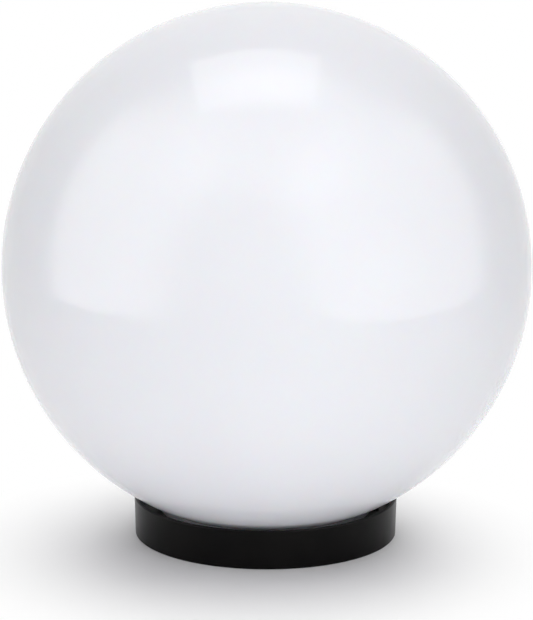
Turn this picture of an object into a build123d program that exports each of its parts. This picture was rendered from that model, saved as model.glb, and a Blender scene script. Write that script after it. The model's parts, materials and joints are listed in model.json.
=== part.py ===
"""Garden globe light: an opal globe that twists into a round black base over a screw-in lamp.

Millimetres, +Z up. The origin is the centre of the footprint, on the surface that the base stands on.
The lamp, the lampholder, the globe and the base are all centred on the Z axis.
"""

from build123d import *
import math
import os

os.makedirs("parts", exist_ok=True)

# ---- driving dimensions -------------------------------------------------------------------------

# globe
GLOBE_RADIUS = 125.0
GLOBE_WALL = 2.2
GLOBE_CENTRE_Z = 129.6
NECK_RADIUS = 50.0
NECK_BORE_RADIUS = 47.5
NECK_END_Z = 6.5

# base
FOOT_RADIUS = 62.4
RIM_RADIUS = 62.9
RIM_INNER_RADIUS = 60.7
BASE_HEIGHT = 18.6
FLOOR_BOTTOM_Z = 2.0
FLOOR_TOP_Z = 4.5
RECESS_RADIUS = 45.5
RIM_ROUNDING = 0.6
FOOT_CHAMFER = 0.4

# bayonet: three lugs on the neck under three catches in the base
CATCH_COUNT = 3
LUG_RADIUS = 54.0
LUG_HEIGHT = 3.0
LUG_HALF_ANGLE = 12.0
FIRST_LUG_ANGLE = 90.0
TWIST_ANGLE = 35.0
CATCH_CLEARANCE = 0.3
CATCH_THICKNESS = 2.5
CATCH_INNER_RADIUS = 50.4
SLOT_RADIUS = 54.6
SLOT_HALF_ANGLE = 14.0
STOP_GAP_ANGLE = 0.8
STOP_WIDTH_ANGLE = 3.5
STOP_INNER_RADIUS = 51.5
STOP_OUTER_RADIUS = 56.0

# globe gasket and the two ribs that hold it
GASKET_INNER_RADIUS = 45.9
GASKET_OUTER_RADIUS = 51.1
RIB_WIDTH = 1.5
RIB_HEIGHT = 1.2
RIB_GAP = 0.3

# foot gasket and drain
FOOT_GASKET_INNER_RADIUS = 47.5
FOOT_GASKET_OUTER_RADIUS = 54.0
FOOT_GASKET_DEPTH = 1.5
FOOT_GASKET_SLACK = 0.1
DRAIN_CENTRE_Y = 57.2
DRAIN_RADIUS = 1.6
DRAIN_NOTCH_WIDTH = 5.0
DRAIN_NOTCH_HEIGHT = 1.4

# fixing holes
FIXING_COUNT = 3
FIXING_CIRCLE_RADIUS = 38.0
FIXING_HOLE_RADIUS = 2.6
FIXING_PAD_RADIUS = 5.5
FIRST_FIXING_ANGLE = 90.0

# cable inlet
INLET_Y = 17.0
INLET_HOLE_RADIUS = 8.0
GROMMET_FLANGE_RADIUS = 10.5
GROMMET_FLANGE_THICKNESS = 1.5
GROMMET_BORE_RADIUS = 3.5
GROMMET_NOSE_FOOT_RADIUS = 6.5
GROMMET_NOSE_TIP_RADIUS = 4.7
GROMMET_TOP_Z = 8.5

# lampholder pillar: an upside-down cup
PILLAR_RADIUS = 32.0
PILLAR_WALL = 2.0
PILLAR_TOP_Z = 27.0
PILLAR_PLATE = 2.5
PILLAR_OPENING_RADIUS = 14.0
EAR_COUNT = 3
EAR_CIRCLE_RADIUS = 37.0
EAR_RADIUS = 4.5
EAR_BOTTOM_Z = 9.5
EAR_THICKNESS = 3.0
EAR_HOLE_RADIUS = 1.9
FIRST_EAR_ANGLE = 30.0
PILOT_RADIUS = 1.45
BOSS_RADIUS = 3.6
BASE_PILOT_BOTTOM_Z = 3.4
PILLAR_SCREW_LENGTH = 8.6
PILLAR_ROUNDING = 1.2
PILLAR_BOSS_BOTTOM_Z = 15.0
PILLAR_PILOT_BOTTOM_Z = 16.2

# lampholder
HOLDER_FLANGE_RADIUS = 29.0
HOLDER_FLANGE_THICKNESS = 6.0
HOLDER_BARREL_RADIUS = 19.5
HOLDER_TOP_RADIUS = 19.0
HOLDER_TOP_Z = 68.0
HOLDER_BORE_RADIUS = 14.2
HOLDER_MOUTH_CHAMFER = 2.0
HOLDER_FLOOR_TOP_Z = 40.0
HOLDER_FLOOR_BOTTOM_Z = 36.0
HOLDER_SCREW_X = 24.2
HOLDER_HOLE_RADIUS = 2.0
HOLDER_SCREW_HEAD_RADIUS = 3.3
HOLDER_SCREW_SEAT_Z = 30.5
HOLDER_SCREW_LENGTH = 13.5
HOLDER_ROUNDING = 1.0
SEAT_CLEARANCE = 0.3

# contacts and terminals of the lampholder
RIVET_X = 9.0
RIVET_RADIUS = 1.2
RIVET_HEAD_RADIUS = 2.2
RIVET_HEAD_HEIGHT = 0.8
CONTACT_SHEET = 0.5
CONTACT_WIDTH = 6.0
CONTACT_TOP_Z = 42.5
LEAF_START_X = -12.0
LEAF_BEND_X = -5.5
LEAF_RISE_X = -2.5
LEAF_END_X = 2.8
LEAF_MITRE = 0.15
TAB_START_X = 6.5
TAB_LENGTH = 7.3
TERMINAL_WIDTH = 6.0
TERMINAL_LENGTH = 7.0
TERMINAL_BOTTOM_Z = 28.5
TERMINAL_HOLE_Y = 1.2
TERMINAL_HOLE_RADIUS = 1.3
TERMINAL_HOLE_DEPTH = 4.0
TERMINAL_SCREW_Z = 30.6
TERMINAL_SCREW_RADIUS = 1.2
TERMINAL_SCREW_HEAD_RADIUS = 2.2
TERMINAL_SCREW_GAP = 0.6

# E27 screw thread
THREAD_PITCH = 3.629
THREAD_ROOT_WIDTH = 1.5
THREAD_CREST_WIDTH = 0.6
THREAD_BURY = 0.2
CAP_ROOT_RADIUS = 12.2
CAP_CREST_RADIUS = 13.15
CAP_BORE_RADIUS = 11.8
CAP_THREAD_Z = 49.0
CAP_THREAD_TURNS = 3.0
SHELL_RADIUS = 14.0
SHELL_ROOT_RADIUS = 13.5
SHELL_CREST_RADIUS = 12.6
SHELL_TOP_Z = 61.0
SHELL_THREAD_Z = 43.0
SHELL_THREAD_TURNS = 4.5

# two pole terminal block
BLOCK_X = 22.0
BLOCK_Y = 16.0
BLOCK_Z = 12.0
BLOCK_CENTRE_Y = -8.0
BLOCK_CORNER = 1.2
BLOCK_CHAMFER = 0.6
BLOCK_HOLE_RADIUS = 1.7
BLOCK_PILOT_BOTTOM_Z = 1.2
POLE_X = 5.5
POLE_HEIGHT = 5.0
INSERT_RADIUS = 2.9
INSERT_BORE_RADIUS = 1.7
INSERT_LENGTH = 12.0
CLAMP_SPACING = 7.2
CLAMP_SCREW_RADIUS = 1.4
CLAMP_HEAD_RADIUS = 1.8
CLAMP_ACCESS_RADIUS = 2.0
CLAMP_SEAT_Z = 13.4
BLOCK_HEAD_RADIUS = 2.6
BLOCK_SEAT_Z = 12.5
BLOCK_BOSS_RADIUS = 3.0
BLOCK_BOSS_BOTTOM_Z = 0.5
BLOCK_SCREW_TIP_Z = 1.4

# inner wires
WIRE_RADIUS = 1.2
WIRE_FRONT_Y = -24.0
WIRE_START_Y = -12.5
WIRE_HIGH_Z = 21.0
WIRE_END_Z = 32.0
ARC_SHARE = 0.45

# lamp
LAMP_BULB_RADIUS = 30.0
LAMP_BULB_CENTRE_Z = 118.0
LAMP_BULB_WALL = 1.2
LAMP_JOINT_RADIUS = 27.0
LAMP_HOUSING_WALL = 1.5
LAMP_HOUSING_BOTTOM_Z = 67.0
LAMP_HOUSING_BOTTOM_RADIUS = 13.8
HOUSING_COLLAR_Z = 63.5
HOUSING_COLLAR_BORE_RADIUS = 11.8
HOUSING_WAIST_RADIUS = 18.8
LEDGE_INNER_RADIUS = 21.5
LEDGE_OUTER_RADIUS = 24.1
LEDGE_THICKNESS = 1.5
CAP_SHEET = 0.4
CAP_BOTTOM_Z = 47.0
SKIRT_START_Z = 61.5
SKIRT_FLARE_HEIGHT = 1.5
SKIRT_RADIUS = 13.2
TIP_RADIUS = 4.8
TIP_THICKNESS = 1.5
TIP_PIN_RADIUS = 1.2
TIP_PIN_CLEARANCE = 0.05
TIP_CHAMFER = 0.5
INSULATOR_BOTTOM_RADIUS = 8.0
INSULATOR_TOP_Z = 48.5
LED_BOARD_RADIUS = 23.0
LED_BOARD_THICKNESS = 1.2
LED_BOARD_Z = 101.0
LED_SIZE = 3.0
LED_HEIGHT = 0.8
LED_CIRCLE_RADIUS = 15.0
LED_COUNT = 9
DRIVER_WIDTH = 18.0
DRIVER_THICKNESS = 1.6
DRIVER_BOTTOM_Z = 72.0
DRIVER_TOP_Z = 97.0
PIN_X = 5.0
PIN_RADIUS = 0.5
PIN_BOTTOM_Z = 90.0
PIN_STAND_OUT = 0.8
CAPACITOR_RADIUS = 4.0
CAPACITOR_BOTTOM_Z = 78.0
CAPACITOR_TOP_Z = 92.0
CAPACITOR_ROUNDING = 0.5
LEAD_RADIUS = 0.4

# screws
HEAD_HEIGHT_SHARE = 0.7
TIP_SHARE = 0.35
RECESS_LENGTH_SHARE = 1.1
RECESS_WIDTH_SHARE = 0.28

# ---- worked out from them -----------------------------------------------------------------------

GLOBE_INNER_RADIUS = GLOBE_RADIUS - GLOBE_WALL
LUG_TOP_Z = NECK_END_Z + LUG_HEIGHT
CATCH_BOTTOM_Z = LUG_TOP_Z + CATCH_CLEARANCE
LAMP_JOINT_Z = LAMP_BULB_CENTRE_Z - math.sqrt(LAMP_BULB_RADIUS ** 2 - LAMP_JOINT_RADIUS ** 2)
LAMP_BULB_INNER_RADIUS = LAMP_BULB_RADIUS - LAMP_BULB_WALL
POLE_Z = FLOOR_TOP_Z + POLE_HEIGHT
RIVET_TOP_Z = HOLDER_FLOOR_TOP_Z + CONTACT_SHEET
TERMINAL_TOP_Z = HOLDER_FLOOR_BOTTOM_Z - RIVET_HEAD_HEIGHT
TIP_TOP_Z = CONTACT_TOP_Z + TIP_THICKNESS

CATCH_ANGLES = [FIRST_LUG_ANGLE + i * 360 / CATCH_COUNT for i in range(CATCH_COUNT)]


# ---- helpers ------------------------------------------------------------------------------------

def sphere_z(radius, distance, centre_z):
    """Height at which a sphere is `distance` from the axis, on its lower half."""
    return centre_z - math.sqrt(radius ** 2 - distance ** 2)


def save(piece, label):
    """Name a finished piece and write it."""
    piece.part.label = label
    export_step(piece.part, f"parts/{label}.step")


def ring_sector(inner, outer, middle_angle, half_angle):
    """Sketch face between two radii, half_angle to each side of middle_angle."""
    first = middle_angle - half_angle
    size = 2 * half_angle
    last = first + size
    with BuildLine() as edge:
        CenterArc((0, 0), outer, first, size)
        CenterArc((0, 0), inner, first, size)
        PolarLine((inner * math.cos(math.radians(first)), inner * math.sin(math.radians(first))),
                  outer - inner, first)
        PolarLine((inner * math.cos(math.radians(last)), inner * math.sin(math.radians(last))),
                  outer - inner, last)
    make_face(edge.edges())


def thread_ridge(root, crest, start_z, turns, lead_angle=0.0):
    """Helical ridge that stands from the root radius to the crest radius, inwards or outwards."""
    outward = 1 if crest > root else -1
    height = abs(crest - root)
    flank = (THREAD_ROOT_WIDTH - THREAD_CREST_WIDTH) / 2 / height
    buried_half = THREAD_ROOT_WIDTH / 2 + flank * THREAD_BURY
    crest_half = THREAD_CREST_WIDTH / 2
    helix = Edge.make_helix(THREAD_PITCH, THREAD_PITCH * turns, root, (0, 0, start_z))
    helix = helix.rotate(Axis.Z, lead_angle)
    start = helix @ 0
    section = Plane(origin=start, x_dir=(start.X, start.Y, 0), z_dir=helix % 0)
    with BuildPart() as ridge:
        with BuildSketch(section):
            Polygon(
                (-outward * THREAD_BURY, -buried_half),
                (outward * height, -crest_half),
                (outward * height, crest_half),
                (-outward * THREAD_BURY, buried_half),
                align=None,
            )
        sweep(path=helix, is_frenet=True, clean=False)
    return ridge.part


def wire_radii(points):
    """Bend radii for a route: 0.45 of the shorter run, over the tangent of half the turn."""
    radii = []
    for before, here, after in zip(points, points[1:], points[2:]):
        run_in = Vector(*here) - Vector(*before)
        run_out = Vector(*after) - Vector(*here)
        half_turn = math.radians(run_in.get_angle(run_out)) / 2
        radii.append(ARC_SHARE * min(run_in.length, run_out.length) / math.tan(half_turn))
    return radii


def polar_places(radius, count, first_angle):
    """Points evenly spaced on a circle about the Z axis."""
    angles = [math.radians(first_angle + i * 360 / count) for i in range(count)]
    return [(radius * math.cos(a), radius * math.sin(a)) for a in angles]


def pan_screws(seat, places, length, shank_radius, head_radius):
    """Pan head screws with a cross recess, whose heads sit on the seat plane at the places."""
    outwards = Axis(seat.origin, seat.z_dir)
    head_height = HEAD_HEIGHT_SHARE * head_radius
    with BuildPart() as screws:
        with BuildSketch(seat):
            with Locations(*places):
                Circle(shank_radius)
        extrude(amount=-length)
        tips = screws.edges().filter_by(GeomType.CIRCLE).group_by(outwards)[0]
        chamfer(tips, length=TIP_SHARE * shank_radius)
        with BuildSketch(seat):
            with Locations(*places):
                Circle(head_radius)
        extrude(amount=head_height)
        crowns = screws.edges().filter_by(GeomType.CIRCLE).group_by(outwards)[-1]
        fillet(crowns, radius=head_height / 2)
        with BuildSketch(seat.offset(head_height)):
            with Locations(*places):
                Rectangle(RECESS_LENGTH_SHARE * head_radius, RECESS_WIDTH_SHARE * head_radius)
                Rectangle(RECESS_WIDTH_SHARE * head_radius, RECESS_LENGTH_SHARE * head_radius)
        extrude(amount=-head_height / 2, mode=Mode.SUBTRACT)
    return screws


# ---- globe --------------------------------------------------------------------------------------

outer_neck_z = sphere_z(GLOBE_RADIUS, NECK_RADIUS, GLOBE_CENTRE_Z)
inner_neck_z = sphere_z(GLOBE_INNER_RADIUS, NECK_BORE_RADIUS, GLOBE_CENTRE_Z)

with BuildPart() as globe:
    with BuildSketch(Plane.XZ):
        with BuildLine():
            ThreePointArc(
                (NECK_RADIUS, outer_neck_z),
                (GLOBE_RADIUS, GLOBE_CENTRE_Z),
                (0, GLOBE_CENTRE_Z + GLOBE_RADIUS),
            )
            Line((0, GLOBE_CENTRE_Z + GLOBE_RADIUS), (0, GLOBE_CENTRE_Z + GLOBE_INNER_RADIUS))
            ThreePointArc(
                (0, GLOBE_CENTRE_Z + GLOBE_INNER_RADIUS),
                (GLOBE_INNER_RADIUS, GLOBE_CENTRE_Z),
                (NECK_BORE_RADIUS, inner_neck_z),
            )
            Polyline(
                (NECK_BORE_RADIUS, inner_neck_z),
                (NECK_BORE_RADIUS, NECK_END_Z),
                (NECK_RADIUS, NECK_END_Z),
                (NECK_RADIUS, outer_neck_z),
            )
        make_face()
    revolve(axis=Axis.Z)
    with BuildSketch(Plane.XY.offset(NECK_END_Z)):
        for angle in CATCH_ANGLES:
            ring_sector((NECK_RADIUS + NECK_BORE_RADIUS) / 2, LUG_RADIUS, angle, LUG_HALF_ANGLE)
    extrude(amount=LUG_HEIGHT)
save(globe, "globe")

# ---- base ---------------------------------------------------------------------------------------

inner_rib_radius = GASKET_INNER_RADIUS - RIB_GAP
outer_rib_radius = GASKET_OUTER_RADIUS + RIB_GAP
wall_middle_radius = (RIM_RADIUS + RIM_INNER_RADIUS) / 2
stop_offset = LUG_HALF_ANGLE + STOP_GAP_ANGLE + STOP_WIDTH_ANGLE / 2

with BuildPart() as base:
    # cup wall and floor, with the hollow under the floor
    with BuildSketch(Plane.XZ):
        Polygon(
            (0, FLOOR_BOTTOM_Z),
            (RECESS_RADIUS, FLOOR_BOTTOM_Z),
            (RECESS_RADIUS, 0),
            (FOOT_RADIUS, 0),
            (RIM_RADIUS, BASE_HEIGHT),
            (RIM_INNER_RADIUS, BASE_HEIGHT),
            (RIM_INNER_RADIUS, FLOOR_TOP_Z),
            (0, FLOOR_TOP_Z),
            align=None,
        )
    revolve(axis=Axis.Z)
    rim_edges = base.edges().filter_by(GeomType.CIRCLE).group_by(Axis.Z)[-1]
    fillet(rim_edges, radius=RIM_ROUNDING)
    foot_edges = base.edges().filter_by(GeomType.CIRCLE).group_by(Axis.Z)[0]
    chamfer(foot_edges.sort_by(SortBy.RADIUS)[-1], length=FOOT_CHAMFER)

    # ribs that hold the globe's gasket
    with BuildSketch(Plane.XY.offset(FLOOR_TOP_Z)):
        Circle(outer_rib_radius + RIB_WIDTH)
        Circle(outer_rib_radius, mode=Mode.SUBTRACT)
        Circle(inner_rib_radius)
        Circle(inner_rib_radius - RIB_WIDTH, mode=Mode.SUBTRACT)
    extrude(amount=RIB_HEIGHT)

    # bayonet catches: a shelf with a way in for each lug
    with BuildSketch(Plane.XY.offset(CATCH_BOTTOM_Z)):
        Circle(wall_middle_radius)
        Circle(CATCH_INNER_RADIUS, mode=Mode.SUBTRACT)
    extrude(amount=CATCH_THICKNESS)
    with BuildSketch(Plane.XY.offset(CATCH_BOTTOM_Z)):
        for angle in CATCH_ANGLES:
            ring_sector(NECK_RADIUS, SLOT_RADIUS, angle + TWIST_ANGLE, SLOT_HALF_ANGLE)
    extrude(amount=CATCH_THICKNESS, mode=Mode.SUBTRACT)

    # stops at both ends of the twist, with the drain channel open outside them
    with BuildSketch(Plane.XY.offset(FLOOR_TOP_Z)):
        for angle in CATCH_ANGLES:
            for middle in (angle - stop_offset, angle + TWIST_ANGLE + stop_offset):
                ring_sector(STOP_INNER_RADIUS, STOP_OUTER_RADIUS, middle, STOP_WIDTH_ANGLE / 2)
    extrude(amount=CATCH_BOTTOM_Z - FLOOR_TOP_Z)

    # pillar bosses above the floor, fixing pads and the block's boss below it
    with BuildSketch(Plane.XY.offset(FLOOR_TOP_Z)):
        with PolarLocations(EAR_CIRCLE_RADIUS, EAR_COUNT, FIRST_EAR_ANGLE):
            Circle(BOSS_RADIUS)
    extrude(amount=EAR_BOTTOM_Z - FLOOR_TOP_Z)
    with BuildSketch(Plane.XY):
        with PolarLocations(FIXING_CIRCLE_RADIUS, FIXING_COUNT, FIRST_FIXING_ANGLE):
            Circle(FIXING_PAD_RADIUS)
    extrude(amount=FLOOR_BOTTOM_Z)
    with BuildSketch(Plane.XY.offset(BLOCK_BOSS_BOTTOM_Z)):
        with Locations((0, BLOCK_CENTRE_Y)):
            Circle(BLOCK_BOSS_RADIUS)
    extrude(amount=FLOOR_BOTTOM_Z - BLOCK_BOSS_BOTTOM_Z)

    # blind pilot holes for the pillar's screws and the block's screw
    with BuildSketch(Plane.XY.offset(EAR_BOTTOM_Z)):
        with PolarLocations(EAR_CIRCLE_RADIUS, EAR_COUNT, FIRST_EAR_ANGLE):
            Circle(PILOT_RADIUS)
    extrude(amount=BASE_PILOT_BOTTOM_Z - EAR_BOTTOM_Z, mode=Mode.SUBTRACT)
    with BuildSketch(Plane.XY.offset(FLOOR_TOP_Z)):
        with Locations((0, BLOCK_CENTRE_Y)):
            Circle(PILOT_RADIUS)
    extrude(amount=BLOCK_PILOT_BOTTOM_Z - FLOOR_TOP_Z, mode=Mode.SUBTRACT)

    # through holes: fixings, cable inlet, drain
    with BuildSketch(Plane.XY):
        with PolarLocations(FIXING_CIRCLE_RADIUS, FIXING_COUNT, FIRST_FIXING_ANGLE):
            Circle(FIXING_HOLE_RADIUS)
        with Locations((0, INLET_Y)):
            Circle(INLET_HOLE_RADIUS)
        with Locations((0, DRAIN_CENTRE_Y)):
            Circle(DRAIN_RADIUS)
    extrude(amount=FLOOR_TOP_Z, mode=Mode.SUBTRACT)

    # groove for the foot gasket, and the drain's way out at the back
    with BuildSketch(Plane.XY):
        Circle(FOOT_GASKET_OUTER_RADIUS)
        Circle(FOOT_GASKET_INNER_RADIUS, mode=Mode.SUBTRACT)
    extrude(amount=FOOT_GASKET_DEPTH, mode=Mode.SUBTRACT)
    with BuildSketch(Plane.XY):
        with Locations((0, DRAIN_CENTRE_Y)):
            Rectangle(DRAIN_NOTCH_WIDTH, 2 * (RIM_RADIUS - DRAIN_CENTRE_Y))
    extrude(amount=DRAIN_NOTCH_HEIGHT, mode=Mode.SUBTRACT)
save(base, "base")

with BuildPart() as globe_gasket:
    with BuildSketch(Plane.XY.offset(FLOOR_TOP_Z)):
        Circle(GASKET_OUTER_RADIUS)
        Circle(GASKET_INNER_RADIUS, mode=Mode.SUBTRACT)
    extrude(amount=NECK_END_Z - FLOOR_TOP_Z)
save(globe_gasket, "globe_gasket")

with BuildPart() as foot_gasket:
    with BuildSketch(Plane.XY):
        Circle(FOOT_GASKET_OUTER_RADIUS - FOOT_GASKET_SLACK)
        Circle(FOOT_GASKET_INNER_RADIUS + FOOT_GASKET_SLACK, mode=Mode.SUBTRACT)
    extrude(amount=FOOT_GASKET_DEPTH)
save(foot_gasket, "foot_gasket")

with BuildPart() as cable_grommet:
    with BuildSketch(Plane.XZ.offset(-INLET_Y)):
        Polygon(
            (GROMMET_BORE_RADIUS, FLOOR_BOTTOM_Z - GROMMET_FLANGE_THICKNESS),
            (GROMMET_FLANGE_RADIUS, FLOOR_BOTTOM_Z - GROMMET_FLANGE_THICKNESS),
            (GROMMET_FLANGE_RADIUS, FLOOR_BOTTOM_Z),
            (INLET_HOLE_RADIUS, FLOOR_BOTTOM_Z),
            (INLET_HOLE_RADIUS, FLOOR_TOP_Z),
            (GROMMET_FLANGE_RADIUS, FLOOR_TOP_Z),
            (GROMMET_FLANGE_RADIUS, FLOOR_TOP_Z + GROMMET_FLANGE_THICKNESS / 2),
            (GROMMET_NOSE_FOOT_RADIUS, FLOOR_TOP_Z + GROMMET_FLANGE_THICKNESS),
            (GROMMET_NOSE_TIP_RADIUS, GROMMET_TOP_Z),
            (GROMMET_BORE_RADIUS, GROMMET_TOP_Z),
            align=None,
        )
    revolve(axis=Axis((0, INLET_Y, 0), (0, 0, 1)))
save(cable_grommet, "cable_grommet")

# ---- lampholder pillar --------------------------------------------------------------------------

ear_link_length = EAR_CIRCLE_RADIUS - PILLAR_RADIUS + PILLAR_WALL / 2

with BuildPart() as lampholder_pillar:
    with BuildSketch(Plane.XY.offset(FLOOR_TOP_Z)):
        Circle(PILLAR_RADIUS)
    extrude(amount=PILLAR_TOP_Z - FLOOR_TOP_Z)
    fillet(lampholder_pillar.edges().group_by(Axis.Z)[-1], radius=PILLAR_ROUNDING)
    with BuildSketch(Plane.XY.offset(EAR_BOTTOM_Z)):
        with PolarLocations(EAR_CIRCLE_RADIUS, EAR_COUNT, FIRST_EAR_ANGLE):
            Circle(EAR_RADIUS)
        with PolarLocations(EAR_CIRCLE_RADIUS - ear_link_length / 2, EAR_COUNT, FIRST_EAR_ANGLE):
            Rectangle(ear_link_length, 2 * EAR_RADIUS)
    extrude(amount=EAR_THICKNESS)
    with BuildSketch(Plane.XY.offset(FLOOR_TOP_Z)):
        Circle(PILLAR_RADIUS - PILLAR_WALL)
    extrude(amount=PILLAR_TOP_Z - PILLAR_PLATE - FLOOR_TOP_Z, mode=Mode.SUBTRACT)
    with BuildSketch(Plane.XY.offset(PILLAR_TOP_Z - PILLAR_PLATE)):
        with Locations((HOLDER_SCREW_X, 0), (-HOLDER_SCREW_X, 0)):
            Circle(BOSS_RADIUS)
    extrude(amount=PILLAR_BOSS_BOTTOM_Z - (PILLAR_TOP_Z - PILLAR_PLATE))
    with BuildSketch(Plane.XY.offset(PILLAR_TOP_Z)):
        with Locations((HOLDER_SCREW_X, 0), (-HOLDER_SCREW_X, 0)):
            Circle(PILOT_RADIUS)
    extrude(amount=PILLAR_PILOT_BOTTOM_Z - PILLAR_TOP_Z, mode=Mode.SUBTRACT)
    with BuildSketch(Plane.XY.offset(PILLAR_TOP_Z)):
        Circle(PILLAR_OPENING_RADIUS)
    extrude(amount=-PILLAR_PLATE, mode=Mode.SUBTRACT)
    with BuildSketch(Plane.XY.offset(EAR_BOTTOM_Z)):
        with PolarLocations(EAR_CIRCLE_RADIUS, EAR_COUNT, FIRST_EAR_ANGLE):
            Circle(EAR_HOLE_RADIUS)
    extrude(amount=EAR_THICKNESS, mode=Mode.SUBTRACT)
save(lampholder_pillar, "lampholder_pillar")

pillar_screws = pan_screws(
    Plane.XY.offset(EAR_BOTTOM_Z + EAR_THICKNESS),
    polar_places(EAR_CIRCLE_RADIUS, EAR_COUNT, FIRST_EAR_ANGLE),
    PILLAR_SCREW_LENGTH,
    PILOT_RADIUS,
    HOLDER_SCREW_HEAD_RADIUS,
)
save(pillar_screws, "pillar_screws")

# ---- lampholder ---------------------------------------------------------------------------------

with BuildPart() as lampholder_body:
    with BuildSketch(Plane.XY.offset(PILLAR_TOP_Z)):
        Circle(HOLDER_FLANGE_RADIUS)
    extrude(amount=HOLDER_FLANGE_THICKNESS)
    fillet(lampholder_body.edges().group_by(Axis.Z)[-1], radius=HOLDER_ROUNDING)
    with BuildSketch(Plane.XY.offset(PILLAR_TOP_Z + HOLDER_FLANGE_THICKNESS)):
        Circle(HOLDER_BARREL_RADIUS)
    with BuildSketch(Plane.XY.offset(HOLDER_TOP_Z)):
        Circle(HOLDER_TOP_RADIUS)
    loft()
    fillet(lampholder_body.edges().group_by(Axis.Z)[-1], radius=HOLDER_ROUNDING)
    with BuildSketch(Plane.XY.offset(HOLDER_FLOOR_TOP_Z)):
        Circle(HOLDER_BORE_RADIUS)
    extrude(amount=HOLDER_TOP_Z - HOLDER_FLOOR_TOP_Z, mode=Mode.SUBTRACT)
    mouth_edge = lampholder_body.edges().filter_by(GeomType.CIRCLE).group_by(Axis.Z)[-1]
    chamfer(mouth_edge.sort_by(SortBy.RADIUS)[0], length=HOLDER_MOUTH_CHAMFER)
    with BuildSketch(Plane.XY.offset(PILLAR_TOP_Z)):
        Circle(PILLAR_OPENING_RADIUS)
    extrude(amount=HOLDER_FLOOR_BOTTOM_Z - PILLAR_TOP_Z, mode=Mode.SUBTRACT)
    with BuildSketch(Plane.XY.offset(HOLDER_FLOOR_BOTTOM_Z)):
        with Locations((RIVET_X, 0), (-RIVET_X, 0)):
            Circle(RIVET_RADIUS)
    extrude(amount=HOLDER_FLOOR_TOP_Z - HOLDER_FLOOR_BOTTOM_Z, mode=Mode.SUBTRACT)
    with BuildSketch(Plane.XY.offset(PILLAR_TOP_Z)):
        with Locations((HOLDER_SCREW_X, 0), (-HOLDER_SCREW_X, 0)):
            Circle(HOLDER_HOLE_RADIUS)
    extrude(amount=HOLDER_FLANGE_THICKNESS, mode=Mode.SUBTRACT)
    with BuildSketch(Plane.XY.offset(HOLDER_SCREW_SEAT_Z)):
        with Locations((HOLDER_SCREW_X, 0), (-HOLDER_SCREW_X, 0)):
            Circle(HOLDER_SCREW_HEAD_RADIUS + SEAT_CLEARANCE)
    extrude(amount=PILLAR_TOP_Z + HOLDER_FLANGE_THICKNESS - HOLDER_SCREW_SEAT_Z, mode=Mode.SUBTRACT)
save(lampholder_body, "lampholder_body")

lampholder_screws = pan_screws(
    Plane.XY.offset(HOLDER_SCREW_SEAT_Z),
    [(HOLDER_SCREW_X, 0), (-HOLDER_SCREW_X, 0)],
    HOLDER_SCREW_LENGTH,
    PILOT_RADIUS,
    HOLDER_SCREW_HEAD_RADIUS,
)
save(lampholder_screws, "lampholder_screws")

shell_lead = -360 * ((CAP_THREAD_Z - SHELL_THREAD_Z) / THREAD_PITCH + 0.5)
shell_ridge = thread_ridge(
    SHELL_ROOT_RADIUS,
    SHELL_CREST_RADIUS,
    SHELL_THREAD_Z,
    SHELL_THREAD_TURNS,
    shell_lead,
)

with BuildPart() as lampholder_thread_shell:
    with BuildSketch(Plane.XY.offset(HOLDER_FLOOR_TOP_Z)):
        Circle(SHELL_RADIUS)
        Circle(SHELL_ROOT_RADIUS, mode=Mode.SUBTRACT)
    extrude(amount=SHELL_TOP_Z - HOLDER_FLOOR_TOP_Z)
    add(shell_ridge, clean=False)
    with BuildSketch(Plane.XY.offset(HOLDER_FLOOR_TOP_Z)):
        with Locations((TAB_START_X, 0)):
            Rectangle(TAB_LENGTH, CONTACT_WIDTH, align=(Align.MIN, Align.CENTER))
        with Locations((RIVET_X, 0)):
            Circle(RIVET_RADIUS, mode=Mode.SUBTRACT)
    extrude(amount=CONTACT_SHEET)
save(lampholder_thread_shell, "lampholder_thread_shell")

with BuildPart() as centre_contact:
    with BuildSketch(Plane.XZ):
        Polygon(
            (LEAF_START_X, HOLDER_FLOOR_TOP_Z),
            (LEAF_BEND_X, HOLDER_FLOOR_TOP_Z),
            (LEAF_RISE_X, CONTACT_TOP_Z - CONTACT_SHEET),
            (LEAF_END_X, CONTACT_TOP_Z - CONTACT_SHEET),
            (LEAF_END_X, CONTACT_TOP_Z),
            (LEAF_RISE_X - LEAF_MITRE, CONTACT_TOP_Z),
            (LEAF_BEND_X - LEAF_MITRE, RIVET_TOP_Z),
            (LEAF_START_X, RIVET_TOP_Z),
            align=None,
        )
    extrude(amount=CONTACT_WIDTH / 2, both=True)
    with BuildSketch(Plane.XY.offset(HOLDER_FLOOR_TOP_Z)):
        with Locations((-RIVET_X, 0)):
            Circle(RIVET_RADIUS)
    extrude(amount=CONTACT_SHEET, mode=Mode.SUBTRACT)
save(centre_contact, "centre_contact")

with BuildPart() as contact_rivets:
    for bottom_z, top_z, radius in (
        (TERMINAL_TOP_Z, HOLDER_FLOOR_BOTTOM_Z, RIVET_HEAD_RADIUS),
        (HOLDER_FLOOR_BOTTOM_Z, RIVET_TOP_Z, RIVET_RADIUS),
        (RIVET_TOP_Z, RIVET_TOP_Z + RIVET_HEAD_HEIGHT, RIVET_HEAD_RADIUS),
    ):
        with BuildSketch(Plane.XY.offset(bottom_z)):
            with Locations((RIVET_X, 0), (-RIVET_X, 0)):
                Circle(radius)
        extrude(amount=top_z - bottom_z)
save(contact_rivets, "contact_rivets")

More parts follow.
